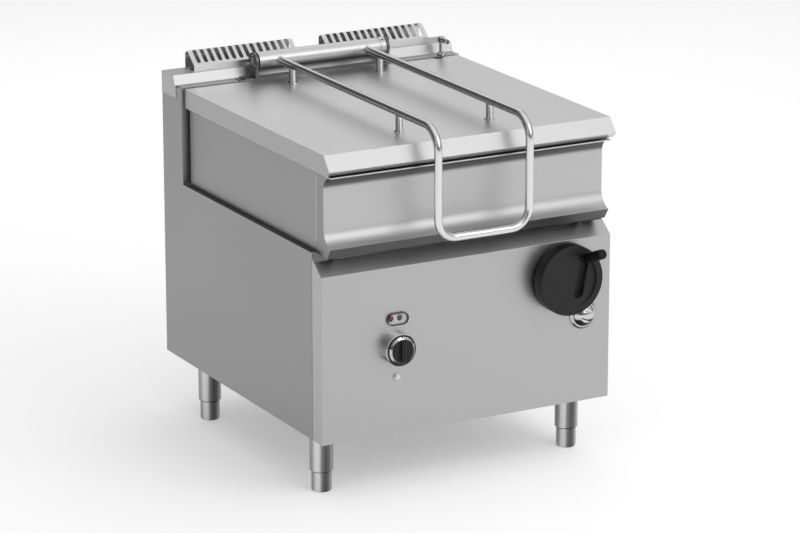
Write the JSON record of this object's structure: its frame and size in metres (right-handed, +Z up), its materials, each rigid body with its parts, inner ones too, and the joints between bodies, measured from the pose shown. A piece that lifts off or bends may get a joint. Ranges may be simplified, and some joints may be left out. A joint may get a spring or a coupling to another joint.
{
  "type": "tilting bratt pan",
  "caption": "Catering bratt pan on legs: rectangular pan tilted forward by a folding-grip handwheel through a worm and sector, with hinged lid, tube handle, tap, spout and flue grilles.",
  "frame": {"origin": "on the floor, in the middle of the whole part's box in x and y", "axes": "+Z up, -Y towards the cook (front), +X to the right when seen from the front"},
  "size_m": [0.8024, 0.9886, 0.9416],
  "materials": {
    "satin_panel": "satin-brushed stainless sheet",
    "galvanised": "plain stainless and galvanised inner sheet",
    "grille_steel": "satin stainless, punched",
    "leg_steel": "bright stainless tube",
    "bronze": "machined bronze",
    "cast_gear": "cast iron, greased",
    "machined_steel": "turned steel",
    "polished_steel": "polished stainless tube",
    "chrome": "bright chrome plate",
    "red_lens": "moulded red lens",
    "green_lens": "moulded green lens",
    "black_plastic": "black moulded plastic",
    "copper": "copper tube with brazed elbows",
    "tub_steel": "ground stainless cooking surface",
    "element_sheath": "dark heating element sheath"
  },
  "bodies": {
    "cabinet": {"base_frame": "galvanised", "left_side_panel": "satin_panel", "right_side_panel": "satin_panel", "front_panel": "satin_panel", "rear_panel": "satin_panel", "column_front_panel": "satin_panel", "column_cap": "satin_panel", "left_flue_grille": "grille_steel", "right_flue_grille": "grille_steel", "leg_sleeves": "leg_steel", "left_pivot_bracket": "galvanised", "right_pivot_bracket": "galvanised", "pivot_bushes": "bronze", "pan_rest": "galvanised", "drive_gearbox": "cast_gear", "worm_bearing": "bronze", "wheel_bearing": "machined_steel", "lamp_bezel": "chrome", "red_lens": "red_lens", "green_lens": "green_lens", "knob_bezel": "chrome", "thermostat": "black_plastic", "reset_socket": "chrome", "tap_valve": "chrome", "water_pipe": "copper", "spout_base": "chrome", "cable_gland": "black_plastic", "terminal_box": "black_plastic"},
    "handwheel_set": {"handwheel": "black_plastic", "wheel_shaft": "machined_steel"},
    "crank": {"crank_grip": "black_plastic"},
    "worm_set": {"tilt_worm": "bronze", "worm_shaft": "machined_steel"},
    "pan": {"pan_tub": "tub_steel", "pan_front_fascia": "satin_panel", "pan_left_side": "satin_panel", "pan_right_side": "satin_panel", "pan_rear_panel": "satin_panel", "pan_bottom_cover": "galvanised", "heating_elements": "element_sheath", "pivot_lugs": "machined_steel", "sector_gear": "cast_gear", "hinge_rail": "galvanised", "hinge_brackets": "polished_steel", "hinge_shaft": "machined_steel", "torsion_spring": "machined_steel"},
    "lid": {"lid_shell": "satin_panel", "lid_liner": "galvanised", "hinge_tube": "polished_steel", "tube_collar": "polished_steel", "lid_handle": "polished_steel", "handle_posts": "polished_steel"},
    "knob": {"control_knob": "black_plastic"},
    "button": {"reset_button": "chrome"},
    "tap": {"tap_lever": "chrome"},
    "spout": {"tap_spout": "chrome"},
    "foot_front_left": {"levelling_foot_front_left": "leg_steel"},
    "foot_front_right": {"levelling_foot_front_right": "leg_steel"},
    "foot_rear_left": {"levelling_foot_rear_left": "leg_steel"},
    "foot_rear_right": {"levelling_foot_rear_right": "leg_steel"}
  },
  "joints": [
    {"name": "pan_tilt", "type": "hinge", "parent": "cabinet", "child": "pan", "pos_m": [0, -0.3537, 0.624], "axis": [1, 0, 0], "range_deg": [0, 70]},
    {"name": "lid_open", "type": "hinge", "parent": "pan", "child": "lid", "pos_m": [0, 0.3943, 0.9144], "axis": [-1, 0, 0], "range_deg": [0, 90]},
    {"name": "handwheel_spin", "type": "hinge", "parent": "cabinet", "child": "handwheel_set", "pos_m": [0.264, -0.37511, 0.482], "axis": [0, 1, 0], "range_deg": [0, 4410]},
    {"name": "worm_spin", "type": "hinge", "parent": "cabinet", "child": "worm_set", "pos_m": [0.264, -0.22204, 0.57081], "axis": [0, 0.3746, 0.9272], "range_deg": [-4410, 0]},
    {"name": "grip_fold", "type": "hinge", "parent": "handwheel_set", "child": "crank", "pos_m": [0.302, -0.4177, 0.532], "axis": [0.9772, 0, -0.2122], "range_deg": [0, 113]},
    {"name": "knob_turn", "type": "hinge", "parent": "cabinet", "child": "knob", "pos_m": [-0.199, -0.4051, 0.37], "axis": [0, 1, 0], "range_deg": [0, 270]},
    {"name": "reset_press", "type": "slide", "parent": "cabinet", "child": "button", "axis": [0, 1, 0], "range_m": [0, 0.003], "stiffness_N_per_m": 400, "springref_m": -0.001},
    {"name": "tap_turn", "type": "hinge", "parent": "cabinet", "child": "tap", "pos_m": [0.323, -0.3901, 0.378], "axis": [0, 1, 0], "range_deg": [0, 90]},
    {"name": "spout_swivel", "type": "hinge", "parent": "cabinet", "child": "spout", "pos_m": [0.352, 0.3913, 0.9], "axis": [0, 0, 1], "range_deg": [-80, 80]},
    {"name": "foot_front_left_screw", "type": "slide", "parent": "cabinet", "child": "foot_front_left", "axis": [0, 0, -1], "range_m": [0, 0.04]},
    {"name": "foot_rear_left_screw", "type": "slide", "parent": "cabinet", "child": "foot_rear_left", "axis": [0, 0, -1], "range_m": [0, 0.04]},
    {"name": "foot_front_right_screw", "type": "slide", "parent": "cabinet", "child": "foot_front_right", "axis": [0, 0, -1], "range_m": [0, 0.04]},
    {"name": "foot_rear_right_screw", "type": "slide", "parent": "cabinet", "child": "foot_rear_right", "axis": [0, 0, -1], "range_m": [0, 0.04]}
  ],
  "couplings": [
    {"joint": "handwheel_spin", "follows": "pan_tilt", "ratio": 63},
    {"joint": "worm_spin", "follows": "pan_tilt", "ratio": -63}
  ]
}
